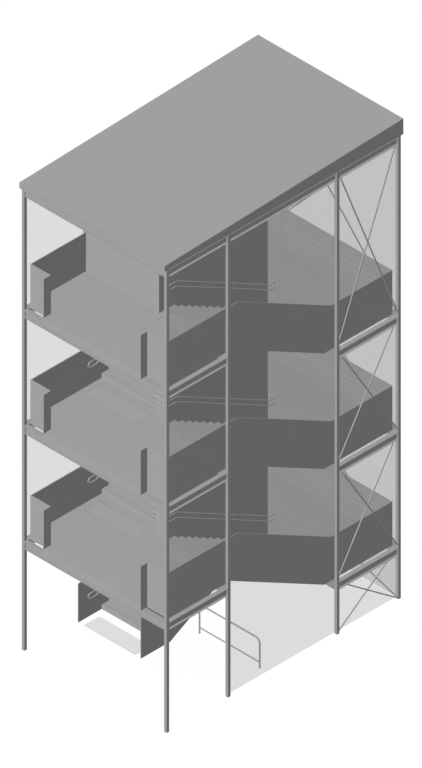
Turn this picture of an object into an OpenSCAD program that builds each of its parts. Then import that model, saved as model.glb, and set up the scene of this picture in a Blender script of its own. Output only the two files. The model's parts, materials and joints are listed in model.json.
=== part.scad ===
// Outdoor stair tower: three storeys of half-turn flights in a braced steel frame with translucent screens.
// Sizes are in millimetres. +Z is up, the open landing fronts face -Y and the half landings lie at +Y.

/* [Piece] */
// Piece to show, or all of them

/* [Flights] */
// Height from one front landing to the next
storey_h = 3900; // [3600:10:4400]
// Depth of one step from nosing to nosing
tread_d = 280; // [260:1:320]
// Steps in one flight, the last one being the landing
risers = 13; // [10:1:15]
// Clear width of a flight between its walls
flight_w = 2415; // [1500:5:3000]
// Thickness of a tread plate
tread_t = 45; // [30:1:60]
// Thickness of a riser plate
riser_t = 30; // [10:1:40]
// Open joint between one step and the next
step_gap = 2; // [1:0.5:4]

/* [Landings] */
// Depth of the front landings up to the first riser
front_landing_d = 2730; // [2600:10:3200]
// Depth of the half landings
rear_landing_d = 2650; // [2300:10:3200]
// Thickness of the landing slabs
slab_t = 200; // [170:5:240]
// Clear width of the open front of a landing
opening_w = 3750; // [2400:10:4200]

/* [Walls] */
// Thickness of the wall panels
panel_t = 25; // [20:1:50]
// Height of the walls above the steps and landings
wall_h = 1300; // [1100:10:1500]
// How far the flight walls hang below the line of the nosings
wall_drop = 320; // [300:5:340]
// How far the left face of the spine hangs below the line of the nosings
spine_drop = 270; // [250:5:320]
// How far level wall panels hang below a floor
skirt_h = 170; // [150:5:195]
// How far the side panels of the front landings hang below their floor
front_skirt_h = 235; // [200:5:280]
// How far the panels beside the open fronts hang below their floor
jog_skirt_h = 190; // [150:5:195]
// Width over the spine wall between the flights
spine_w = 430; // [300:10:600]
// How far the spine runs past the flights at the front
spine_over = 320; // [280:5:380]
// How far the spine runs past the flights at the rear
spine_rear_over = 265; // [200:5:300]
// How far the flight walls run past the spine at the rear
wall_lap = 75; // [60:5:120]
// Thickness of the cap on the spine
cap_t = 30; // [20:1:60]
// How far the entry walls reach in front of the first riser
entry_d = 905; // [800:5:1000]
// How far the flight walls start in front of the first riser
wall_lead = 770; // [700:10:780]
// How far the first right-hand wall starts in front of the first riser
first_lead = 1030; // [790:10:1200]
// How far the guard of the top landing stands in front of the first riser
guard_lead = 610; // [500:10:680]
// Open joint between neighbouring panels of one set
joint_gap = 0.8; // [0.5:0.1:0.9]

/* [Frame] */
// Width of the square columns
column_w = 100; // [80:5:150]
// From the outside of the wall panels to the column centres
column_off = 115; // [105:1:160]
// From the edge of the half landings to the centres of the inner columns
bay_back = 400; // [250:10:500]
// Height of the beams
beam_h = 250; // [200:5:300]
// Width of the beam flanges
beam_w = 150; // [110:5:200]
// Thickness of the beam flanges
flange_t = 11; // [8:1:16]
// Thickness of the beam webs
web_t = 8; // [6:1:12]

/* [Roof] */
// Roof overhang past the outside of the columns at the ends
roof_over = 90; // [40:5:200]
// Roof overhang past the outside of the columns at the sides
roof_side = 10; // [0:5:25]
// Roof thickness at its low front edge
roof_low = 190; // [100:5:250]
// Roof thickness at its high rear edge
roof_high = 525; // [300:5:700]

/* [Screens and braces] */
// Thickness of the screen sheets
screen_t = 10; // [6:1:16]
// How far the sheets sit inside the column centres
screen_in = 30; // [20:1:40]
// Clear gap under each sheet
screen_gap = 55; // [30:5:80]
// Width of the square brace rods
rod_w = 30; // [18:1:32]
// Clear distance between two crossing rods
rod_gap = 2; // [1:0.5:4]

/* [Handrails] */
// Height of the upper rail above floors and nosings
rail_high = 815; // [780:5:950]
// Height of the lower rail above floors and nosings
rail_low = 640; // [560:5:700]
// Diameter of the rails
rail_d = 36; // [30:1:45]
// Thickness added to the rails at their elbows
elbow_over = 2; // [1:0.5:4]
// Distance of the rails from their wall
rail_off = 65; // [50:1:90]
// Distance of the inner rails from the rear end of the spine
wrap_off = 200; // [60:5:240]
// Diameter of the bracket arms
arm_d = 12; // [10:1:20]
// Width of the bracket plates
bracket_w = 40; // [30:1:60]
// Thickness of the bracket plates
bracket_t = 5; // [5:1:10]
// Height of the bracket plates past each rail
bracket_over = 30; // [20:1:40]
// How far the rails run on in front of the first riser
rail_lead = 500; // [450:10:540]

/* [Barrier and pads] */
// Diameter of the barrier rail
bar_d = 50; // [40:1:60]
// Height over the barrier rail
bar_h = 1000; // [900:10:1100]
// Length over the barrier rail
bar_l = 2394; // [2000:2:2420]
// Centre of the barrier's first post, out from the middle of the spine
bar_x = 86; // [60:1:120]
// Bend radius of the barrier rail
bar_r = 150; // [100:5:200]
// Diameter of the low bar of the barrier rail
low_bar_d = 42; // [30:1:45]
// Height of the low bar
low_bar_z = 190; // [150:5:400]
// Place of the barrier rail behind the first riser
bar_back = 1094; // [900:10:1300]
// Length of a warning pad across the flight
pad_l = 2000; // [1200:10:2100]
// Width of a warning pad
pad_w = 600; // [300:10:620]
// Thickness of a warning pad
pad_t = 6; // [4:1:10]
// Distance from a warning pad to the step
pad_back = 300; // [250:10:320]

/* [Hidden] */
storeys = 3;
half_h = storey_h / 2;
riser_h = half_h / risers;
run = (risers - 1) * tread_d;
pitch = riser_h / tread_d;
half_l = (front_landing_d + run + rear_landing_d) / 2;
front_y = -half_l;
rear_y = half_l;
foot_y = front_y + front_landing_d;
head_y = foot_y + run;
spine_x = spine_w / 2;
wall_x = spine_x + flight_w;
panel_x = wall_x + panel_t;
column_x = panel_x + column_off;
column_y = half_l + panel_t + column_off;
inner_y = head_y + bay_back;
end_bay = column_y - inner_y;
spine_front = foot_y - spine_over;
spine_rear = head_y + spine_rear_over;
top_floor = storeys * storey_h;
roof_z = top_floor + storey_h;
spine_top = top_floor + wall_h;
joint_front = foot_y - wall_lead;
joint_rear = spine_rear + wall_lap;
entry_y = foot_y - entry_d;
guard_y = foot_y - guard_lead;
opening_x = opening_w / 2;
roof_x = column_x + column_w / 2 + roof_side;
roof_y = column_y + column_w / 2 + roof_over;
rod_in = screen_t / 2 - screen_in + rod_gap + rod_w / 2;
rod_out = rod_in + rod_w + rod_gap;
brackets = 4;
back_brackets = 3;
elbow_d = rail_d + elbow_over;
rail_mid = (rail_high + rail_low) / 2;
rail_r = (rail_high - rail_low) / 2;
$fn = 48;

// Floor heights of the front and half landings of a storey.
function front_floor(n) = n * storey_h;
function rear_floor(n) = n * storey_h - half_h;

// Where the right wall of a storey's flights meets the side panel of its front landing.
function right_joint(n) = n == 1 ? foot_y - first_lead : joint_front;

// Line of the nosings of the flights that rise to the rear and to the front.
function lower_line(n, y) = front_floor(n - 1) + riser_h + (y - foot_y) * pitch;
function upper_line(n, y) = front_floor(n) - (y - foot_y) * pitch;

// Places along the flights where the line of the nosings is a given height above the floor there.
function lower_foot(up) = foot_y - tread_d + up / pitch;
function lower_head(up) = head_y + up / pitch;
function upper_head(up) = foot_y - up / pitch;
function upper_foot(up) = head_y + tread_d - up / pitch;

// A block between two opposite corners.
module block(a, b) {
  translate(a)
    cube(b - a);
}

// A flat panel across X whose outline is given as [y, z] points.
module side_panel(x, t, outline) {
  translate([x, 0, 0])
    rotate([90, 0, 90])
      linear_extrude(height = t)
        polygon(outline);
}

// The outline of a beam, centred, with its top at zero.
module beam_outline() {
  translate([-beam_w / 2, -flange_t])
    square([beam_w, flange_t]);
  translate([-beam_w / 2, -beam_h])
    square([beam_w, flange_t]);
  translate([-web_t / 2, -beam_h])
    square([web_t, beam_h]);
}

// A beam along Y between two columns.
module beam_y(x, y0, y1, top) {
  translate([x, y1, top])
    rotate([90, 0, 0])
      linear_extrude(height = y1 - y0)
        beam_outline();
}

// A beam along X between two columns.
module beam_x(y, top) {
  translate([-column_x + column_w / 2, y, top])
    rotate([90, 0, 90])
      linear_extrude(height = 2 * column_x - column_w)
        beam_outline();
}

module columns(side) {
  for (y = [-column_y, -inner_y, inner_y, column_y])
    translate([side * column_x - column_w / 2, y - column_w / 2, 0])
      cube([column_w, column_w, roof_z]);
}

// The ring of four beams that carries one landing in an end bay.
module landing_beams(floor_z, end) {
  y_a = end < 0 ? -column_y : inner_y;
  y_b = end < 0 ? -inner_y : column_y;
  for (x = [-column_x, column_x])
    beam_y(x, y_a + column_w / 2, y_b - column_w / 2, floor_z - slab_t);
  for (y = [y_a, y_b])
    beam_x(y, floor_z - slab_t);
}

module roof_beams() {
  ys = [-column_y, -inner_y, inner_y, column_y];
  for (x = [-column_x, column_x], i = [0 : 2])
    beam_y(x, ys[i] + column_w / 2, ys[i + 1] - column_w / 2, roof_z);
  for (y = ys)
    beam_x(y, roof_z);
}

module roof_slab() {
  color([0.63, 0.63, 0.63])
    side_panel(-roof_x, 2 * roof_x, [
      [-roof_y, roof_z], [roof_y, roof_z], [roof_y, roof_z + roof_high], [-roof_y, roof_z + roof_low]
    ]);
}

module front_landing(n) {
  z = front_floor(n) - slab_t;
  color([0.61, 0.61, 0.61])
    translate([0, 0, z])
      linear_extrude(height = slab_t)
        polygon([
          [-wall_x, front_y], [-opening_x, front_y], [-opening_x, -roof_y], [opening_x, -roof_y],
          [opening_x, front_y], [wall_x, front_y], [wall_x, foot_y], [spine_x, foot_y],
          [spine_x, spine_front], [-spine_x, spine_front], [-spine_x, foot_y], [-wall_x, foot_y]
        ]);
}

module rear_landing(n) {
  z = rear_floor(n) - slab_t;
  color([0.61, 0.61, 0.61])
    translate([0, 0, z])
      linear_extrude(height = slab_t)
        polygon([
          [-wall_x, head_y], [-spine_x, head_y], [-spine_x, spine_rear], [spine_x, spine_rear],
          [spine_x, head_y], [wall_x, head_y], [wall_x, rear_y], [-wall_x, rear_y]
        ]);
}

// One folded step, as [run, height] points from its nosing, with its tread running on under the next riser.
module step_outline(last) {
  back = last ? tread_d : tread_d + riser_t;
  polygon([
    [0, -riser_h + step_gap], [riser_t, -riser_h + step_gap], [riser_t, -tread_t],
    [back, -tread_t], [back, 0], [0, 0]
  ]);
}

// A flight that rises from the front to the half landing, on the left.
module lower_flight(n) {
  color([0.61, 0.61, 0.61])
    for (k = [1 : risers - 1])
      translate([-wall_x, foot_y + (k - 1) * tread_d, front_floor(n - 1) + k * riser_h])
        rotate([90, 0, 90])
          linear_extrude(height = flight_w)
            step_outline(k == risers - 1);
}

// A flight that rises from the half landing to the front, on the right.
module upper_flight(n) {
  color([0.61, 0.61, 0.61])
    for (k = [1 : risers - 1])
      translate([wall_x, head_y - (k - 1) * tread_d, rear_floor(n) + k * riser_h])
        rotate([90, 0, -90])
          linear_extrude(height = flight_w)
            step_outline(k == risers - 1);
}

module flight_walls(n) {
  low = front_floor(n - 1);
  mid = rear_floor(n);
  high = front_floor(n);
  start = n == 1 ? entry_y : joint_front + joint_gap;
  base = n == 1 ? 0 : low - skirt_h;
  drop_y = lower_foot(wall_drop + base - low);
  color([0.39, 0.39, 0.39]) {
    side_panel(-panel_x, panel_t, [
      [start, base], [drop_y, base], [lower_head(wall_drop - skirt_h), mid - skirt_h],
      [joint_rear, mid - skirt_h], [joint_rear, mid + wall_h], [head_y, mid + wall_h],
      [lower_foot(0), low + wall_h], [start, low + wall_h]
    ]);
    side_panel(wall_x, panel_t, [
      [right_joint(n) + joint_gap, high - skirt_h], [upper_head(wall_drop - skirt_h), high - skirt_h],
      [upper_foot(wall_drop - skirt_h), mid - skirt_h], [joint_rear, mid - skirt_h],
      [joint_rear, mid + wall_h], [upper_foot(0), mid + wall_h], [foot_y, high + wall_h],
      [right_joint(n) + joint_gap, high + wall_h]
    ]);
    if (n == 1)
      block([-spine_x, entry_y, 0], [-spine_x + panel_t, spine_front, high - slab_t - beam_h]);
  }
}

module front_parapets(n) {
  z0 = front_floor(n) - front_skirt_h;
  jog_z = front_floor(n) - jog_skirt_h;
  z1 = front_floor(n) + wall_h;
  left_end = n == storeys ? guard_y + panel_t : joint_front;
  color([0.39, 0.39, 0.39]) {
    block([-panel_x, front_y + joint_gap, z0], [-wall_x, left_end, z1]);
    block([wall_x, front_y + joint_gap, z0], [panel_x, right_joint(n), z1]);
    block([-panel_x, front_y - panel_t, jog_z], [-opening_x - joint_gap, front_y, z1]);
    block([opening_x + joint_gap, front_y - panel_t, jog_z], [panel_x, front_y, z1]);
    block([-opening_x - panel_t, -roof_y, jog_z], [-opening_x, front_y - panel_t - joint_gap, z1]);
    block([opening_x, -roof_y, jog_z], [opening_x + panel_t, front_y - panel_t - joint_gap, z1]);
  }
}

module rear_parapets(n) {
  z0 = rear_floor(n) - skirt_h;
  z1 = rear_floor(n) + wall_h;
  color([0.39, 0.39, 0.39]) {
    block([-panel_x, joint_rear + joint_gap, z0], [-wall_x, rear_y - joint_gap, z1]);
    block([wall_x, joint_rear + joint_gap, z0], [panel_x, rear_y - joint_gap, z1]);
    block([-panel_x, rear_y, z0], [panel_x, rear_y + panel_t, z1]);
  }
}

module spine_panels() {
  top = spine_top - cap_t;
  color([0.39, 0.39, 0.39]) {
    side_panel(-spine_x, panel_t, [
      [spine_front, 0], [lower_foot(spine_drop), 0],
      [spine_rear, lower_line(1, spine_rear) - spine_drop], [spine_rear, top], [spine_front, top]
    ]);
    side_panel(spine_x - panel_t, panel_t, [
      [spine_front, front_floor(1) - skirt_h],
      [upper_head(wall_drop - skirt_h), front_floor(1) - skirt_h],
      [upper_foot(wall_drop - skirt_h), rear_floor(1) - skirt_h],
      [spine_rear, rear_floor(1) - skirt_h], [spine_rear, top], [spine_front, top]
    ]);
  }
}

module spine_ends() {
  top = spine_top - cap_t;
  inner_x = spine_x - panel_t;
  color([0.63, 0.63, 0.63]) {
    block([-inner_x, spine_front, front_floor(1) - skirt_h],
          [inner_x, spine_front + panel_t, top - joint_gap]);
    block([-inner_x, spine_rear - panel_t, rear_floor(1) - skirt_h],
          [inner_x, spine_rear, top - joint_gap]);
    block([-spine_x, spine_front, top], [spine_x, spine_rear, spine_top]);
  }
}

// The guard that closes the top landing where no further flight rises.
module top_guard() {
  z1 = top_floor + wall_h;
  color([0.63, 0.63, 0.63]) {
    block([-wall_x, guard_y, top_floor], [spine_x, guard_y + panel_t, z1]);
    block([spine_x - panel_t, guard_y + panel_t + joint_gap, top_floor], [spine_x, spine_front, z1]);
  }
}

// Sheets in one bay of a side, between the beams of that bay.
module side_sheets(x, y0, y1, floors) {
  for (i = [0 : len(floors) - 1]) {
    z0 = floors[i] == 0 ? screen_gap : floors[i] - slab_t + screen_gap;
    z1 = i + 1 < len(floors) ? floors[i + 1] - slab_t - beam_h : roof_z - beam_h;
    block([x - screen_t / 2, y0 + column_w / 2, z0], [x + screen_t / 2, y1 - column_w / 2, z1]);
  }
}

module side_screen(side) {
  x = side * (column_x - screen_in);
  front = [for (n = [1 : storeys]) front_floor(n)];
  rear = [for (n = [0 : storeys]) n == 0 ? 0 : rear_floor(n)];
  color([0.8, 0.8, 0.8, 0.35]) {
    side_sheets(x, -column_y, -inner_y, front);
    side_sheets(x, -inner_y, inner_y, [0]);
    side_sheets(x, inner_y, column_y, rear);
  }
}

module back_screen() {
  y = column_y - screen_in;
  half_w = column_x - column_w / 2;
  color([0.8, 0.8, 0.8, 0.35])
    for (n = [0 : storeys]) {
      z0 = n == 0 ? screen_gap : rear_floor(n) - slab_t + screen_gap;
      z1 = n < storeys ? rear_floor(n + 1) - slab_t - beam_h : roof_z - beam_h;
      block([-half_w, y - screen_t / 2, z0], [half_w, y + screen_t / 2, z1]);
    }
}

// Levels of the beam tops under and over a pair of braces.
function brace_low(n) = n == 0 ? 0 : rear_floor(n) - slab_t;
function brace_high(n) = n == storeys ? roof_z : rear_floor(n + 1) - slab_t;

// A rod between two column centres, rising or falling from one beam top to another.
// It is cut off at the faces of the columns and beams.
module rod(span, low, high, rising) {
  rise = rising ? high - low : low - high;
  intersection() {
    translate([0, 0, rising ? low : high])
      rotate([0, 90 - atan2(rise, span), 0])
        translate([-rod_w / 2, -rod_w / 2, 0])
          cube([rod_w, rod_w, norm([span, rise])]);
    block([column_w / 2, -rod_w, low], [span - column_w / 2, rod_w, high - beam_h]);
  }
}

module side_braces(side) {
  color([0.61, 0.61, 0.61])
    for (n = [0 : storeys], rising = [true, false])
      translate([side * (column_x + (rising ? rod_in : rod_out)), inner_y, 0])
        rotate([0, 0, 90])
          rod(end_bay, brace_low(n), brace_high(n), rising);
}

module back_braces() {
  color([0.61, 0.61, 0.61])
    for (n = [0 : storeys], rising = [true, false])
      translate([-column_x, column_y + (rising ? rod_out : rod_in), 0])
        rod(2 * column_x, brace_low(n), brace_high(n), rising);
}

// A straight tube between two points.
module tube(p, q, d) {
  v = q - p;
  translate(p)
    rotate([0, acos(v[2] / norm(v)), atan2(v[1], v[0])])
      cylinder(d = d, h = norm(v));
}

// One rail along a list of points, with a slightly fuller elbow at each bend.
module rail_line(points, lift) {
  up = [0, 0, lift];
  for (i = [0 : len(points) - 2])
    tube(points[i] + up, points[i + 1] + up, rail_d);
  if (len(points) > 2)
    for (i = [1 : len(points) - 2])
      translate(points[i] + up)
        sphere(d = elbow_d);
}

// The rounded end that joins the two rails of a pair, facing along Y.
module rail_end(p, way) {
  translate(p + [0, 0, rail_mid])
    rotate([0, 0, way > 0 ? 0 : 180])
      rotate([0, -90, 0])
        rotate_extrude(angle = 180)
          translate([rail_r, 0])
            circle(d = rail_d);
}

// A bracket at a point of the rail line, with its plate on the wall that lies along dir at distance off.
module bracket(p, dir, off) {
  along_x = dir[0] != 0;
  reach = off - bracket_t;
  low = p + [0, 0, rail_low];
  high = p + [0, 0, rail_high];
  for (q = [low, high])
    tube(q, q + dir * (reach + bracket_t / 2), arm_d);
  back = p + dir * off;
  front = p + dir * reach;
  side = along_x ? [0, bracket_w / 2, 0] : [bracket_w / 2, 0, 0];
  c0 = [min(back[0], front[0]), min(back[1], front[1]), p[2] + rail_low - bracket_over] - side;
  c1 = [max(back[0], front[0]), max(back[1], front[1]), p[2] + rail_high + bracket_over] + side;
  block(c0, c1);
}

// A pair of rails along floor points, with brackets at given floor points.
module rail_pair(points, stations, dir, off) {
  rail_line(points, rail_low);
  rail_line(points, rail_high);
  for (p = stations)
    bracket(p, dir, off);
}

// Floor points under a rail of the rising left flight and of the rising right flight.
function lower_points(n, x, y0, y1) = [
  [x, y0, front_floor(n - 1)], [x, lower_foot(0), front_floor(n - 1)],
  [x, head_y, rear_floor(n)], [x, y1, rear_floor(n)]
];
function upper_points(n, x, y0, y1) = [
  [x, y0, rear_floor(n)], [x, upper_foot(0), rear_floor(n)],
  [x, foot_y, front_floor(n)], [x, y1, front_floor(n)]
];

// Bracket places along a flight, evenly spaced between its bends.
function lower_stations(n, x) = [
  for (i = [0 : brackets - 1])
    let (y = lower_foot(0) + (head_y - lower_foot(0)) * (i + 0.5) / brackets)
      [x, y, lower_line(n, y)]
];
function upper_stations(n, x) = [
  for (i = [0 : brackets - 1])
    let (y = foot_y + (upper_foot(0) - foot_y) * (i + 0.5) / brackets)
      [x, y, upper_line(n, y)]
];

module handrails(n) {
  x_out = wall_x - rail_off;
  x_in = spine_x + rail_off;
  y_back = rear_y - rail_off;
  y_wrap = spine_rear + wrap_off;
  y_nose = spine_front - rail_off;
  y_tip = spine_front + rail_r + rail_d / 2;
  start = foot_y - rail_lead;
  trim = rail_d / 2 + joint_gap;
  low = front_floor(n - 1);
  mid = rear_floor(n);
  high = front_floor(n);
  y_side = (joint_rear + y_back) / 2;
  back_pitch = 2 * x_out / back_brackets;
  color([0.7, 0.7, 0.7]) {
    // The outer run: left wall, back wall, right wall.
    rail_pair(lower_points(n, -x_out, start, y_back + rail_d / 2),
              concat(lower_stations(n, -x_out), [[-x_out, y_side, mid]]), [-1, 0, 0], rail_off);
    rail_end([-x_out, start, low], -1);
    rail_pair([[-x_out + trim, y_back, mid], [x_out - trim, y_back, mid]],
              [for (i = [0 : back_brackets - 1]) [-x_out + back_pitch * (i + 0.5), y_back, mid]],
              [0, 1, 0], rail_off);
    rail_pair(upper_points(n, x_out, y_back + rail_d / 2, start),
              concat(upper_stations(n, x_out), [[x_out, y_side, mid]]), [1, 0, 0], rail_off);
    rail_end([x_out, start, high], -1);
    // The inner run: left face, rear end, right face and front end of the spine.
    rail_pair(lower_points(n, -x_in, n == 1 ? start : y_nose - rail_d / 2, y_wrap + rail_d / 2),
              lower_stations(n, -x_in), [1, 0, 0], rail_off);
    if (n == 1)
      rail_end([-x_in, start, low], -1);
    rail_pair([[-x_in + trim, y_wrap, mid], [x_in - trim, y_wrap, mid]],
              [[0, y_wrap, mid]], [0, -1, 0], wrap_off);
    rail_pair(upper_points(n, x_in, y_wrap + rail_d / 2, n == storeys ? y_tip : y_nose - rail_d / 2),
              upper_stations(n, x_in), [-1, 0, 0], rail_off);
    if (n == storeys)
      rail_end([x_in, y_tip, high], -1);
    else
      rail_pair([[-x_in + trim, y_nose, high], [x_in - trim, y_nose, high]],
                [[0, y_nose, high]], [0, 1, 0], rail_off);
  }
}

// A bent quarter of the barrier rail.
module bar_bend(x, turn) {
  translate([x, foot_y + bar_back, bar_h - bar_d / 2 - bar_r])
    rotate([90, 0, 0])
      rotate([0, 0, turn])
        rotate_extrude(angle = 90)
          translate([bar_r, 0])
            circle(d = bar_d);
}

module barrier_rail() {
  y = foot_y + bar_back;
  x0 = bar_x;
  x1 = bar_x + bar_l - bar_d;
  top = bar_h - bar_d / 2;
  color([0.6, 0.6, 0.6]) {
    for (x = [x0, x1])
      tube([x, y, 0], [x, y, top - bar_r], bar_d);
    bar_bend(x0 + bar_r, 90);
    bar_bend(x1 - bar_r, 0);
    tube([x0 + bar_r, y, top], [x1 - bar_r, y, top], bar_d);
    tube([x0, y, low_bar_z], [x1, y, low_bar_z], low_bar_d);
  }
}

module warning_pads() {
  mid_x = spine_x + flight_w / 2;
  y1 = foot_y - pad_back;
  color([0.62, 0.62, 0.62])
    for (n = [0 : storeys], side = n == 0 ? [-1] : n == storeys ? [1] : [-1, 1])
      block([side * mid_x - pad_l / 2, y1 - pad_w, front_floor(n)],
            [side * mid_x + pad_l / 2, y1, front_floor(n) + pad_t]);
}

color([0.6, 0.6, 0.6]) columns(-1);  // left_columns
color([0.6, 0.6, 0.6]) columns(1);  // right_columns
color([0.6, 0.6, 0.6]) landing_beams(front_floor(1), -1);  // front_beams_1
color([0.6, 0.6, 0.6]) landing_beams(front_floor(2), -1);  // front_beams_2
color([0.6, 0.6, 0.6]) landing_beams(front_floor(3), -1);  // front_beams_3
color([0.6, 0.6, 0.6]) landing_beams(rear_floor(1), 1);  // rear_beams_1
color([0.6, 0.6, 0.6]) landing_beams(rear_floor(2), 1);  // rear_beams_2
color([0.6, 0.6, 0.6]) landing_beams(rear_floor(3), 1);  // rear_beams_3
color([0.6, 0.6, 0.6]) roof_beams();
roof_slab();
front_landing(1);  // front_landing_1
front_landing(2);  // front_landing_2
front_landing(3);  // front_landing_3
rear_landing(1);  // rear_landing_1
rear_landing(2);  // rear_landing_2
rear_landing(3);  // rear_landing_3
lower_flight(1);  // lower_flight_1
lower_flight(2);  // lower_flight_2
lower_flight(3);  // lower_flight_3
upper_flight(1);  // upper_flight_1
upper_flight(2);  // upper_flight_2
upper_flight(3);  // upper_flight_3
flight_walls(1);  // flight_walls_1
flight_walls(2);  // flight_walls_2
flight_walls(3);  // flight_walls_3
front_parapets(1);  // front_parapets_1
front_parapets(2);  // front_parapets_2
front_parapets(3);  // front_parapets_3
rear_parapets(1);  // rear_parapets_1
rear_parapets(2);  // rear_parapets_2
rear_parapets(3);  // rear_parapets_3
spine_panels();
spine_ends();
top_guard();
side_screen(-1);  // left_screen
side_screen(1);  // right_screen
back_screen();
side_braces(-1);  // left_braces
side_braces(1);  // right_braces
back_braces();
handrails(1);  // handrails_1
handrails(2);  // handrails_2
handrails(3);  // handrails_3
barrier_rail();
warning_pads();
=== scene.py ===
"""Looks of an outdoor stair tower: matt greys, translucent screens, fine fittings and a pale studio."""

import json
import logging
import math
from dataclasses import dataclass, field
from enum import Enum

import bmesh
import bpy
from mathutils import Matrix, Vector


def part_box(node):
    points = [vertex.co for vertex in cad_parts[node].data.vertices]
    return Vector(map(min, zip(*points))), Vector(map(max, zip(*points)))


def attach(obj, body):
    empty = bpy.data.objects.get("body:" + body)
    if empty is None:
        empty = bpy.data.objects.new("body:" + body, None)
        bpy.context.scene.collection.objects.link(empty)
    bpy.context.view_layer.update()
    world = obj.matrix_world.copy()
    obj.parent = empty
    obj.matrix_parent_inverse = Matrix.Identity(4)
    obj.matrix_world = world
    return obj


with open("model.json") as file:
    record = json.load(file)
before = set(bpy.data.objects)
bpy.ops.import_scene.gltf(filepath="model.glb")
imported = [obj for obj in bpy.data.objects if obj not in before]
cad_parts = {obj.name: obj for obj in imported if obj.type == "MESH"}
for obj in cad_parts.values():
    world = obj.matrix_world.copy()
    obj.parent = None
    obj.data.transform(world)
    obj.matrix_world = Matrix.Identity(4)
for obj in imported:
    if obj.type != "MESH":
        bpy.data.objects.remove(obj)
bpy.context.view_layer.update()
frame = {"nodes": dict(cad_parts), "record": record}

logging.basicConfig(level=logging.INFO, format="%(message)s")
log = logging.getLogger("stair_tower")

BODY = "root"
STOREYS = (1, 2, 3)
SIDES = (-1, 1)
UP = Vector((0.0, 0.0, 1.0))
WHITE = (1.0, 1.0, 1.0, 1.0)
BLACK = (0.0, 0.0, 0.0, 1.0)
ISOMETRIC_TILT = math.atan(math.sqrt(0.5))


class Axis(Enum):
    """The level axes, by their place in a vector."""

    X = 0
    Y = 1


class Surface(Enum):
    """Kinds of surface, each with the fineness of its grain in cells per metre."""

    PAINT = 60.0
    CAST = 90.0
    SHEET = 25.0


@dataclass(frozen=True)
class Finish:
    """One finish: its slot in the record, its colour as linear grey and how it varies."""

    slot: str
    grey: float
    roughness: float
    surface: Surface = Surface.PAINT
    mottle: float = 0.01
    speckle: float = 0.01
    bump: float = 0.0
    alpha: float = 1.0
    specular: float = 0.25


FRAME_PAINT = Finish("frame_paint", grey=0.345, roughness=0.62, mottle=0.02, bump=0.02)
WALL_PAINT = Finish("wall_paint", grey=0.352, roughness=0.72, mottle=0.015, bump=0.02, specular=0.08)
ROOF_GREY = Finish("roof_grey", grey=0.334, roughness=0.70, mottle=0.015, bump=0.02)
CONCRETE = Finish("concrete", grey=0.350, roughness=0.82, surface=Surface.CAST, mottle=0.02,
                  speckle=0.04, bump=0.08)
NOSING = Finish("concrete", grey=0.327, roughness=0.60, surface=Surface.CAST, speckle=0.02)
SCREEN = Finish("screen", grey=0.380, roughness=0.45, surface=Surface.SHEET, alpha=0.1775, specular=0.1)
# Painted shade: the back screen is the same screen material with a darker grey, so that its inner face
# looks shaded where the key lamp lights it.
BACK_SCREEN_PAINTED_SHADE = Finish("screen", grey=0.145, roughness=0.45, surface=Surface.SHEET, alpha=0.1775,
                     specular=0.1)
BRACE_PAINT = Finish("brace_paint", grey=0.345, roughness=0.55)
RAIL_STEEL = Finish("rail_steel", grey=0.340, roughness=0.72, speckle=0.005, specular=0.05)
PAD_GREY = Finish("pad_grey", grey=0.400, roughness=0.75, speckle=0.03, bump=0.05, alpha=0.215)
PAD_EDGE = Finish("pad_grey", grey=0.100, roughness=0.75, surface=Surface.SHEET, alpha=0.117)
ZINC = Finish("frame_paint", grey=0.360, roughness=0.45, mottle=0.02, speckle=0.02)


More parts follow.
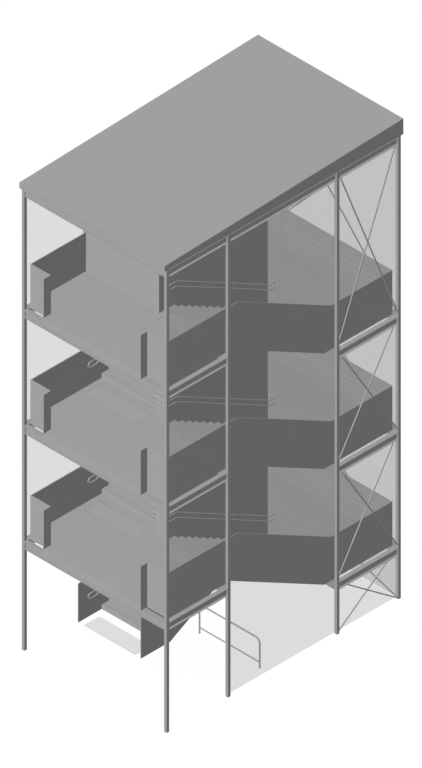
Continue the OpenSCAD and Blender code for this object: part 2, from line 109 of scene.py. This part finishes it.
class PaintMottle:
    """The shader group that gives every finish its faint unevenness, worn gloss and grain."""

    NAME = "Paint Mottle"
    BROAD_SCALE = 0.7
    BROAD_DETAIL = 3.0
    GRAIN_DETAIL = 2.0
    GLOSS_SWING = 0.3
    MIDDLE = 0.5
    WHOLE = 1.0

    def __init__(self) -> None:
        """Builds the group once."""
        self.tree = bpy.data.node_groups.new(self.NAME, "ShaderNodeTree")
        self._sockets()
        self._nodes()

    def _sockets(self) -> None:
        """Makes the named inputs and outputs of the group."""
        face = self.tree.interface
        face.new_socket("Position", in_out="INPUT", socket_type="NodeSocketVector")
        face.new_socket("Grey", in_out="INPUT", socket_type="NodeSocketColor")
        for name in ("Roughness", "Mottle", "Speckle", "Grain Scale"):
            face.new_socket(name, in_out="INPUT", socket_type="NodeSocketFloat")
        face.new_socket("Color", in_out="OUTPUT", socket_type="NodeSocketColor")
        for name in ("Roughness", "Height"):
            face.new_socket(name, in_out="OUTPUT", socket_type="NodeSocketFloat")

    def _math(self, operation: str, first: bpy.types.NodeSocket,
              second: bpy.types.NodeSocket | float) -> bpy.types.NodeSocket:
        """Adds one sum to the group.

        Args:
            operation: The kind of sum.
            first: The socket that it starts from.
            second: The other socket, or a plain number.

        Returns:
            The socket with the result.
        """
        node = self.tree.nodes.new("ShaderNodeMath")
        node.operation = operation
        self.tree.links.new(first, node.inputs[0])
        if isinstance(second, float):
            node.inputs[1].default_value = second
        else:
            self.tree.links.new(second, node.inputs[1])
        return node.outputs[0]

    def _swing(self, noise: bpy.types.Node, amount: bpy.types.NodeSocket | float) -> bpy.types.NodeSocket:
        """Turns a noise into a small swing about zero.

        Args:
            noise: The noise texture node.
            amount: The size of the swing, as a socket or a plain number.

        Returns:
            The socket with the swing.
        """
        centred = self._math("SUBTRACT", noise.outputs["Fac"], self.MIDDLE)
        return self._math("MULTIPLY", centred, amount)

    def _nodes(self) -> None:
        """Places and joins the nodes of the group."""
        nodes, links = self.tree.nodes, self.tree.links
        given = nodes.new("NodeGroupInput").outputs
        made = nodes.new("NodeGroupOutput").inputs
        broad = nodes.new("ShaderNodeTexNoise")
        broad.inputs["Scale"].default_value = self.BROAD_SCALE
        broad.inputs["Detail"].default_value = self.BROAD_DETAIL
        grain = nodes.new("ShaderNodeTexNoise")
        grain.inputs["Detail"].default_value = self.GRAIN_DETAIL
        links.new(given["Grain Scale"], grain.inputs["Scale"])
        for noise in (broad, grain):
            links.new(given["Position"], noise.inputs["Vector"])
        swing = self._math("ADD", self._swing(broad, given["Mottle"]), self._swing(grain, given["Speckle"]))
        tint = nodes.new("ShaderNodeHueSaturation")
        links.new(self._math("ADD", swing, self.WHOLE), tint.inputs["Value"])
        links.new(given["Grey"], tint.inputs["Color"])
        gloss = self._math("ADD", self._swing(broad, self.GLOSS_SWING), self.WHOLE)
        links.new(tint.outputs["Color"], made["Color"])
        links.new(self._math("MULTIPLY", gloss, given["Roughness"]), made["Roughness"])
        links.new(grain.outputs["Fac"], made["Height"])


class PaintShop:
    """Makes each finish's material once and hands it out."""

    BUMP_DISTANCE = 0.002

    def __init__(self) -> None:
        """Starts with the shared group and no materials."""
        self.mottle = PaintMottle()
        self.made: dict[Finish, bpy.types.Material] = {}

    def material(self, finish: Finish) -> bpy.types.Material:
        """Gives the material of a finish, made on first use.

        Args:
            finish: The finish that is wanted.

        Returns:
            Its material.
        """
        if finish not in self.made:
            self.made[finish] = self._make(finish)
        return self.made[finish]

    def _make(self, finish: Finish) -> bpy.types.Material:
        """Builds a material from a finish.

        Args:
            finish: The finish to build.

        Returns:
            The new material.
        """
        made = bpy.data.materials.new(finish.slot)
        made.use_nodes = True
        shader = made.node_tree.nodes["Principled BSDF"]
        shader.inputs["Alpha"].default_value = finish.alpha
        shader.inputs["Specular IOR Level"].default_value = finish.specular
        self._add_mottle(made.node_tree, shader, finish)
        return made

    def _add_mottle(self, tree: bpy.types.NodeTree, shader: bpy.types.Node, finish: Finish) -> None:
        """Feeds a shader with the shared unevenness.

        Args:
            tree: The material's node tree.
            shader: Its Principled shader.
            finish: The finish that gives the amounts.
        """
        place = tree.nodes.new("ShaderNodeTexCoord")
        group = tree.nodes.new("ShaderNodeGroup")
        group.node_tree = self.mottle.tree
        group.inputs["Grey"].default_value = (finish.grey, finish.grey, finish.grey, 1.0)
        group.inputs["Roughness"].default_value = finish.roughness
        group.inputs["Mottle"].default_value = finish.mottle
        group.inputs["Speckle"].default_value = finish.speckle
        group.inputs["Grain Scale"].default_value = finish.surface.value
        tree.links.new(place.outputs["Object"], group.inputs["Position"])
        tree.links.new(group.outputs["Color"], shader.inputs["Base Color"])
        tree.links.new(group.outputs["Roughness"], shader.inputs["Roughness"])
        if finish.bump > 0.0:
            bump = tree.nodes.new("ShaderNodeBump")
            bump.inputs["Strength"].default_value = finish.bump
            bump.inputs["Distance"].default_value = self.BUMP_DISTANCE
            tree.links.new(group.outputs["Height"], bump.inputs["Height"])
            tree.links.new(bump.outputs["Normal"], shader.inputs["Normal"])


class Bench:
    """A mesh in the making, with the few shapes that the fittings need."""

    def __init__(self) -> None:
        """Starts an empty mesh."""
        self.mesh = bmesh.new()

    @staticmethod
    def _turn(axis: Vector) -> Matrix:
        """Gives the turn from upright to an axis."""
        return UP.rotation_difference(axis.normalized()).to_matrix().to_4x4()

    def _box(self, place: Matrix, edge: float) -> None:
        """Adds a box with bevelled edges.

        Args:
            place: Where it stands, how it is turned and how large it is.
            edge: Width of the bevel.
        """
        made = bmesh.ops.create_cube(self.mesh, size=1.0, matrix=place)
        edges = list({e for v in made["verts"] for e in v.link_edges})
        bmesh.ops.bevel(self.mesh, geom=edges, offset=edge, offset_type="OFFSET", segments=1,
                        profile=0.5, affect="EDGES", material=-1)

    def block(self, low: Vector, high: Vector, edge: float) -> None:
        """Adds a block between two corners.

        Args:
            low: Its lowest corner.
            high: Its highest corner.
            edge: Width of the bevel on its edges.
        """
        self._box(Matrix.Translation((low + high) / 2) @ Matrix.Diagonal((*(high - low), 1.0)), edge)

    def bar(self, centre: Vector, axis: Vector, width: float, length: float, edge: float) -> None:
        """Adds a square bar.

        Args:
            centre: The middle of the bar.
            axis: Its direction.
            width: Its width both ways.
            length: Its length.
            edge: Width of the bevel on its edges.
        """
        size = Matrix.Diagonal((width, width, length, 1.0))
        self._box(Matrix.Translation(centre) @ self._turn(axis) @ size, edge)

    def prism(self, centre: Vector, axis: Vector, wide: float, narrow: float, depth: float,
              sides: int) -> None:
        """Adds a round or many-sided stub, tapered where its two diameters differ.

        Args:
            centre: The middle of the stub.
            axis: Its direction.
            wide: Its diameter at the start.
            narrow: Its diameter at the end.
            depth: Its length.
            sides: How many sides it has.
        """
        place = Matrix.Translation(centre) @ self._turn(axis)
        bmesh.ops.create_cone(self.mesh, cap_ends=True, cap_tris=False, segments=sides,
                              radius1=wide / 2, radius2=narrow / 2, depth=depth, matrix=place)

    def finish(self, name: str, finish: Finish, shop: PaintShop) -> None:
        """Turns the mesh into a piece of the tower.

        Args:
            name: The piece's name.
            finish: The finish it takes.
            shop: Where its material comes from.
        """
        data = bpy.data.meshes.new(name)
        self.mesh.to_mesh(data)
        self.mesh.free()
        data.materials.append(shop.material(finish))
        piece = bpy.data.objects.new(name, data)
        bpy.context.scene.collection.objects.link(piece)
        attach(piece, BODY)
        log.info("%s: %d faces", name, len(data.polygons))


@dataclass
class TowerFrame:
    """The places of columns and beams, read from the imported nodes."""

    column_w: float = 0.100
    beam_h: float = 0.250
    beam_w: float = 0.150
    column_x: float = field(init=False)
    column_y: float = field(init=False)
    inner_y: float = field(init=False)
    roof_z: float = field(init=False)
    front_tops: list[float] = field(init=False)
    rear_tops: list[float] = field(init=False)

    def __post_init__(self) -> None:
        """Reads the places from the columns and beams."""
        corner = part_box("right_columns")[1]
        self.column_x = corner.x - self.column_w / 2
        self.column_y = corner.y - self.column_w / 2
        self.roof_z = corner.z
        self.front_tops = [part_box(f"front_beams_{n}")[1].z for n in STOREYS]
        self.rear_tops = [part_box(f"rear_beams_{n}")[1].z for n in STOREYS]
        self.inner_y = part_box("rear_beams_1")[0].y + self.beam_w / 2

    def rows(self) -> list[float]:
        """The four rows of columns along Y."""
        return [-self.column_y, -self.inner_y, self.inner_y, self.column_y]


@dataclass
class BeamJoints:
    """End plates and bolts where the beams meet the columns."""

    tower: TowerFrame
    plate_t: float = 0.012
    plate_edge: float = 0.002
    bolt_d: float = 0.030
    bolt_h: float = 0.014
    bolt_sides: int = 6
    bolt_in: float = 0.030
    bolt_drops: tuple[float, ...] = (0.055, 0.125, 0.195)

    def build(self, shop: PaintShop) -> None:
        """Builds the plates and the bolts of every beam end.

        Args:
            shop: Where the finishes come from.
        """
        plates, bolts = Bench(), Bench()
        for start, end in self._beams():
            way = (end - start).normalized()
            self._end(plates, bolts, start, way)
            self._end(plates, bolts, end, -way)
        plates.finish("beam_end_plates", FRAME_PAINT, shop)
        bolts.finish("beam_bolts", ZINC, shop)

    def _beams(self) -> list[tuple[Vector, Vector]]:
        """Lists every beam by its two ends, at the column faces and the height of its top."""
        rows = self.tower.rows()
        front = [(top, rows[0], rows[1]) for top in self.tower.front_tops]
        rear = [(top, rows[2], rows[3]) for top in self.tower.rear_tops]
        roof = [(self.tower.roof_z, a, b) for a, b in zip(rows, rows[1:])]
        along = [(side * self.tower.column_x, *bay) for bay in front + rear + roof for side in SIDES]
        across = [(top, y) for top, a, b in front + rear for y in (a, b)]
        across += [(self.tower.roof_z, y) for y in rows]
        half = self.tower.column_w / 2
        reach = self.tower.column_x - half
        found = [(Vector((x, a + half, top)), Vector((x, b - half, top))) for x, top, a, b in along]
        found += [(Vector((-reach, y, top)), Vector((reach, y, top))) for top, y in across]
        return found

    def _end(self, plates: Bench, bolts: Bench, at: Vector, way: Vector) -> None:
        """Adds the plate and bolts of one beam end.

        Args:
            plates: The mesh of all plates.
            bolts: The mesh of all bolts.
            at: The beam's end, at the height of its top.
            way: The direction from the column into the beam.
        """
        across = Vector((abs(way.y), abs(way.x), 0.0))
        half = across * (self.tower.column_w / 2 - self.plate_edge)
        head = at - UP * self.plate_edge
        foot = at + way * self.plate_t - UP * (self.tower.beam_h - self.plate_edge)
        low = Vector(map(min, head, foot)) - half
        high = Vector(map(max, head, foot)) + half
        plates.block(low, high, self.plate_edge)
        bolt_at = at + way * (self.plate_t + self.bolt_h / 2)
        for drop in self.bolt_drops:
            for side in SIDES:
                centre = bolt_at + across * side * self.bolt_in - UP * drop
                bolts.prism(centre, way, self.bolt_d, self.bolt_d, self.bolt_h, self.bolt_sides)


@dataclass
class BraceFittings:
    """Joint sleeves on the square brace rods, low down on each one."""

    tower: TowerFrame
    rod_w: float = 0.030
    sleeve_t: float = 0.0015
    sleeve_l: float = 0.30
    sleeve_at: float = 0.30
    edge: float = 0.0006

    def build(self, shop: PaintShop) -> None:
        """Builds the sleeves of all three braced sides.

        Args:
            shop: Where the finishes come from.
        """
        sleeves = Bench()
        x_in, x_out = self._layers("right_braces", Axis.X)
        y_in, y_out = self._layers("back_braces", Axis.Y)
        near, far = self.tower.inner_y, self.tower.column_y
        wide = self.tower.column_x
        levels = [0.0, *self.tower.rear_tops, self.tower.roof_z]
        for low, high in zip(levels, levels[1:]):
            for side in SIDES:
                self._sleeve(sleeves, Vector((side * x_in, near, low)), Vector((side * x_in, far, high)))
                self._sleeve(sleeves, Vector((side * x_out, far, low)), Vector((side * x_out, near, high)))
            self._sleeve(sleeves, Vector((-wide, y_out, low)), Vector((wide, y_out, high)))
            self._sleeve(sleeves, Vector((wide, y_in, low)), Vector((-wide, y_in, high)))
        sleeves.finish("brace_sleeves", BRACE_PAINT, shop)

    def _layers(self, node: str, axis: Axis) -> tuple[float, float]:
        """Finds the two planes that the crossing rods of a node lie in.

        Args:
            node: The node of the rods.
            axis: The axis across them.

        Returns:
            The places of the inner and outer rods' middles along that axis.
        """
        low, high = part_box(node)
        return low[axis.value] + self.rod_w / 2, high[axis.value] - self.rod_w / 2

    def _sleeve(self, sleeves: Bench, foot: Vector, head: Vector) -> None:
        """Adds the sleeve of one rod.

        Args:
            sleeves: The mesh of all sleeves.
            foot: The rod's low working point.
            head: Its high working point.
        """
        sleeves.bar(foot.lerp(head, self.sleeve_at), head - foot, self.rod_w + 2 * self.sleeve_t,
                    self.sleeve_l, self.edge)


@dataclass
class StepNosings:
    """Grip strips along the front edge of every step."""

    steps: int = 12
    strip_d: float = 0.045
    strip_t: float = 0.003
    strip_back: float = 0.008
    side_gap: float = 0.060
    edge: float = 0.001
    riser: float = 0.150

    def build(self, shop: PaintShop) -> None:
        """Builds the strips of all six flights.

        Args:
            shop: Where the finishes come from.
        """
        for n in STOREYS:
            self._flight(f"lower_flight_{n}", f"lower_nosings_{n}", 1, shop)
            self._flight(f"upper_flight_{n}", f"upper_nosings_{n}", -1, shop)

    def _flight(self, node: str, name: str, way: int, shop: PaintShop) -> None:
        """Builds the strips of one flight.

        Args:
            node: The flight's node.
            name: The name of the new piece.
            way: 1 where the flight rises along +Y, or -1.
            shop: Where the finishes come from.
        """
        low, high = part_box(node)
        tread = (high.y - low.y) / self.steps
        first = low.y if way > 0 else high.y
        strips = Bench()
        for k in range(self.steps):
            z = high.z - (self.steps - 1 - k) * self.riser
            near = first + way * (k * tread + self.strip_back)
            far = near + way * self.strip_d
            strips.block(Vector((low.x + self.side_gap, min(near, far), z - self.strip_t)),
                         Vector((high.x - self.side_gap, max(near, far), z + self.strip_t)), self.edge)
        strips.finish(name, NOSING, shop)


@dataclass
class WarningPads:
    """Raised dots and a dark border on the pads in front of the flights."""

    dot_wide: float = 0.032
    dot_narrow: float = 0.020
    dot_h: float = 0.005
    dot_pitch: float = 0.050
    dot_sides: int = 8
    border_w: float = 0.022
    border_t: float = 0.0015
    border_edge: float = 0.0004
    merge: float = 0.00001

    def build(self, shop: PaintShop) -> None:
        """Builds the dots and borders of every pad.

        Args:
            shop: Where the finishes come from.
        """
        dots, borders = Bench(), Bench()
        for low, high in self._pads():
            self._dot_field(dots, low, high)
            self._border(borders, low, high)
        dots.finish("pad_dots", PAD_GREY, shop)
        borders.finish("pad_borders", PAD_EDGE, shop)

    def _pads(self) -> list[tuple[Vector, Vector]]:
        """Finds the box of each loose pad in the pads' node.

        Returns:
            The lowest and highest corner of each pad, from the ground up.
        """
        mesh = bmesh.new()
        mesh.from_mesh(frame["nodes"]["warning_pads"].data)
        bmesh.ops.remove_doubles(mesh, verts=mesh.verts[:], dist=self.merge)
        todo = set(mesh.verts)
        found: list[tuple[Vector, Vector]] = []
        while todo:
            island, front = set(), [todo.pop()]
            while front:
                vertex = front.pop()
                island.add(vertex)
                nearby = {e.other_vert(vertex) for e in vertex.link_edges} & todo
                todo -= nearby
                front += nearby
            corners = [v.co for v in island]
            found.append((Vector(map(min, zip(*corners))), Vector(map(max, zip(*corners)))))
        mesh.free()
        return sorted(found, key=lambda pad: (round(pad[0].z, 3), pad[0].x))

    def _dot_field(self, dots: Bench, low: Vector, high: Vector) -> None:
        """Covers one pad with dots.

        Args:
            dots: The mesh of all dots.
            low: The pad's lowest corner.
            high: Its highest corner.
        """
        columns = int((high.x - low.x - 2 * self.border_w) / self.dot_pitch)
        rows = int((high.y - low.y - 2 * self.border_w) / self.dot_pitch)
        middle = (low + high) / 2
        for i in range(columns):
            for j in range(rows):
                centre = Vector((middle.x + (i - (columns - 1) / 2) * self.dot_pitch,
                                 middle.y + (j - (rows - 1) / 2) * self.dot_pitch,
                                 high.z + self.dot_h / 2))
                dots.prism(centre, UP, self.dot_wide, self.dot_narrow, self.dot_h, self.dot_sides)

    def _border(self, borders: Bench, low: Vector, high: Vector) -> None:
        """Lays four border strips round the edge of one pad.

        Args:
            borders: The mesh of all borders.
            low: The pad's lowest corner.
            high: Its highest corner.
        """
        w, z0, z1 = self.border_w, high.z, high.z + self.border_t
        for y in (low.y, high.y - w):
            borders.block(Vector((low.x, y, z0)), Vector((high.x, y + w, z1)), self.border_edge)
        for x in (low.x, high.x - w):
            borders.block(Vector((x, low.y + w, z0)), Vector((x + w, high.y - w, z1)), self.border_edge)


@dataclass
class BarrierFeet:
    """Round collars where the barrier's posts meet the floor."""

    collar_d: float = 0.062
    collar_h: float = 0.008
    post_d: float = 0.050
    sides: int = 32

    def build(self, shop: PaintShop) -> None:
        """Builds both collars.

        Args:
            shop: Where the finishes come from.
        """
        low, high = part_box("barrier_rail")
        collars = Bench()
        for x in (low.x + self.post_d / 2, high.x - self.post_d / 2):
            centre = Vector((x, (low.y + high.y) / 2, self.collar_h / 2))
            collars.prism(centre, UP, self.collar_d, self.collar_d, self.collar_h, self.sides)
        collars.finish("barrier_collars", RAIL_STEEL, shop)


@dataclass
class CadDress:
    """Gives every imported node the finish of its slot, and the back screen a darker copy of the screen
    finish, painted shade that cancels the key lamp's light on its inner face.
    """

    finishes: tuple[Finish, ...] = (FRAME_PAINT, WALL_PAINT, ROOF_GREY, CONCRETE, SCREEN, BRACE_PAINT,
                                    RAIL_STEEL, PAD_GREY)
    # The back screen takes the darker copy of the screen finish, which is painted shade.
    by_node: dict[str, Finish] = field(default_factory=lambda: {"back_screen": BACK_SCREEN_PAINTED_SHADE})

    def build(self, shop: PaintShop) -> None:
        """Assigns the materials.

        Args:
            shop: Where the finishes come from.
        """
        by_slot = {finish.slot: finish for finish in self.finishes}
        for row in frame["record"]["subparts"]:
            node = frame["nodes"][row["node"]]
            finish = self.by_node.get(row["node"], by_slot[row["material_slot"]])
            node.data.materials.clear()
            node.data.materials.append(shop.material(finish))
            log.info("%s: %s", row["node"], row["material_slot"])


@dataclass(frozen=True)
class Sun:
    """A far lamp: where its light comes from and the share of a white face's brightness that it gives."""

    name: str
    come_from: tuple[float, float, float]
    level: float


SUNS = (
    Sun("key_sun", (0.0, -0.7248, 0.6889), 1.345),
    Sun("right_sun", (1.0, 0.0, 0.0), 0.316),
    Sun("left_sun", (-1.0, 0.0, 0.0), 0.28),
    Sun("rear_sun", (0.0, 1.0, 0.0), 0.62),
    Sun("under_sun", (0.0, 0.0, -1.0), 0.20),
)


@dataclass
class Studio:
    """Even light from far lamps, a white ground and the drawing's camera."""

    sky: float = 0.03
    floor_half: float = 150.0
    floor_drop: float = 0.0005
    floor_grey: float = 0.80
    floor_glow: float = 0.245
    pixels_high: float = 768.0
    pixels_per_metre: float = 36.32
    azimuth: float = 45.0
    aim: tuple[float, float, float] = (-0.0064, -0.0064, 8.082)
    distance: float = 60.0
    clip_end: float = 240.0

    def build(self) -> None:
        """Builds lamps, world, floor and camera."""
        for sun in SUNS:
            self._lamp(sun)
        self._world()
        self._floor()
        self._camera()
        bpy.context.scene.view_settings.view_transform = "Standard"

    @staticmethod
    def _lamp(sun: Sun) -> None:
        """Adds one lamp that casts no shadow and throws no light back.

        Args:
            sun: The lamp to add.
        """
        lamp = bpy.data.lights.new(sun.name, "SUN")
        lamp.energy = sun.level * math.pi
        lamp.use_shadow = False
        lamp.cycles.max_bounces = 0
        holder = bpy.data.objects.new(sun.name, lamp)
        holder.rotation_mode = "QUATERNION"
        holder.rotation_quaternion = (-Vector(sun.come_from)).to_track_quat("-Z", "Y")
        bpy.context.scene.collection.objects.link(holder)

    @staticmethod
    def _seen_directly(tree: bpy.types.NodeTree) -> bpy.types.NodeSocket:
        """Adds the test for rays that show the background.

        Args:
            tree: The node tree to add it to.

        Returns:
            A socket that is 1 for camera, glossy and transmission rays.
        """
        path = tree.nodes.new("ShaderNodeLightPath")
        total = path.outputs["Is Camera Ray"]
        for kind in ("Is Glossy Ray", "Is Transmission Ray"):
            either = tree.nodes.new("ShaderNodeMath")
            either.operation = "MAXIMUM"
            tree.links.new(total, either.inputs[0])
            tree.links.new(path.outputs[kind], either.inputs[1])
            total = either.outputs[0]
        return total

    def _world(self) -> None:
        """Makes a world that looks white and lights the tower softly."""
        world = bpy.data.worlds.new("studio")
        bpy.context.scene.world = world
        world.use_nodes = True
        tree = world.node_tree
        tree.nodes.clear()
        soft = tree.nodes.new("ShaderNodeBackground")
        soft.inputs["Strength"].default_value = self.sky
        shown = tree.nodes.new("ShaderNodeBackground")
        for part in (soft, shown):
            part.inputs["Color"].default_value = WHITE
        mix = tree.nodes.new("ShaderNodeMixShader")
        tree.links.new(self._seen_directly(tree), mix.inputs[0])
        tree.links.new(soft.outputs[0], mix.inputs[1])
        tree.links.new(shown.outputs[0], mix.inputs[2])
        out = tree.nodes.new("ShaderNodeOutputWorld")
        tree.links.new(mix.outputs[0], out.inputs["Surface"])

    def _floor(self) -> None:
        """Makes a white floor that keeps a faint shadow."""
        mesh = bmesh.new()
        place = Matrix.Translation((0.0, 0.0, -self.floor_drop))
        bmesh.ops.create_grid(mesh, x_segments=1, y_segments=1, size=self.floor_half, matrix=place)
        data = bpy.data.meshes.new("floor")
        mesh.to_mesh(data)
        mesh.free()
        floor = bpy.data.objects.new("floor", data)
        bpy.context.scene.collection.objects.link(floor)
        data.materials.append(self._floor_material())

    def _floor_material(self) -> bpy.types.Material:
        """Makes the floor's material, white to look at and dark to the light that it would throw back.

        Returns:
            The new material.
        """
        made = bpy.data.materials.new("floor")
        made.use_nodes = True
        tree = made.node_tree
        tree.nodes.clear()
        lit = tree.nodes.new("ShaderNodeBsdfDiffuse")
        lit.inputs["Color"].default_value = (self.floor_grey, self.floor_grey, self.floor_grey, 1.0)
        glow = tree.nodes.new("ShaderNodeEmission")
        glow.inputs["Strength"].default_value = self.floor_glow
        both = tree.nodes.new("ShaderNodeAddShader")
        tree.links.new(lit.outputs[0], both.inputs[0])
        tree.links.new(glow.outputs[0], both.inputs[1])
        dark = tree.nodes.new("ShaderNodeBsdfDiffuse")
        dark.inputs["Color"].default_value = BLACK
        mix = tree.nodes.new("ShaderNodeMixShader")
        tree.links.new(self._seen_directly(tree), mix.inputs[0])
        tree.links.new(dark.outputs[0], mix.inputs[1])
        tree.links.new(both.outputs[0], mix.inputs[2])
        out = tree.nodes.new("ShaderNodeOutputMaterial")
        tree.links.new(mix.outputs[0], out.inputs["Surface"])
        return made

    def _camera(self) -> None:
        """Makes a parallel camera at equal angles to the three axes."""
        turn = math.radians(self.azimuth)
        level = math.cos(ISOMETRIC_TILT)
        back = Vector((math.sin(turn) * level, -math.cos(turn) * level, math.sin(ISOMETRIC_TILT)))
        lens = bpy.data.cameras.new("camera")
        lens.type = "ORTHO"
        lens.ortho_scale = self.pixels_high / self.pixels_per_metre
        lens.clip_end = self.clip_end
        camera = bpy.data.objects.new("camera", lens)
        camera.location = Vector(self.aim) + back * self.distance
        camera.rotation_mode = "QUATERNION"
        camera.rotation_quaternion = (-back).to_track_quat("-Z", "Y")
        bpy.context.scene.collection.objects.link(camera)
        bpy.context.scene.camera = camera


def main() -> None:
    """Builds the looks of the tower in order."""
    shop = PaintShop()
    tower = TowerFrame()
    CadDress().build(shop)
    BeamJoints(tower).build(shop)
    BraceFittings(tower).build(shop)
    StepNosings().build(shop)
    WarningPads().build(shop)
    BarrierFeet().build(shop)
    Studio().build()


if __name__ == "__main__":
    main()
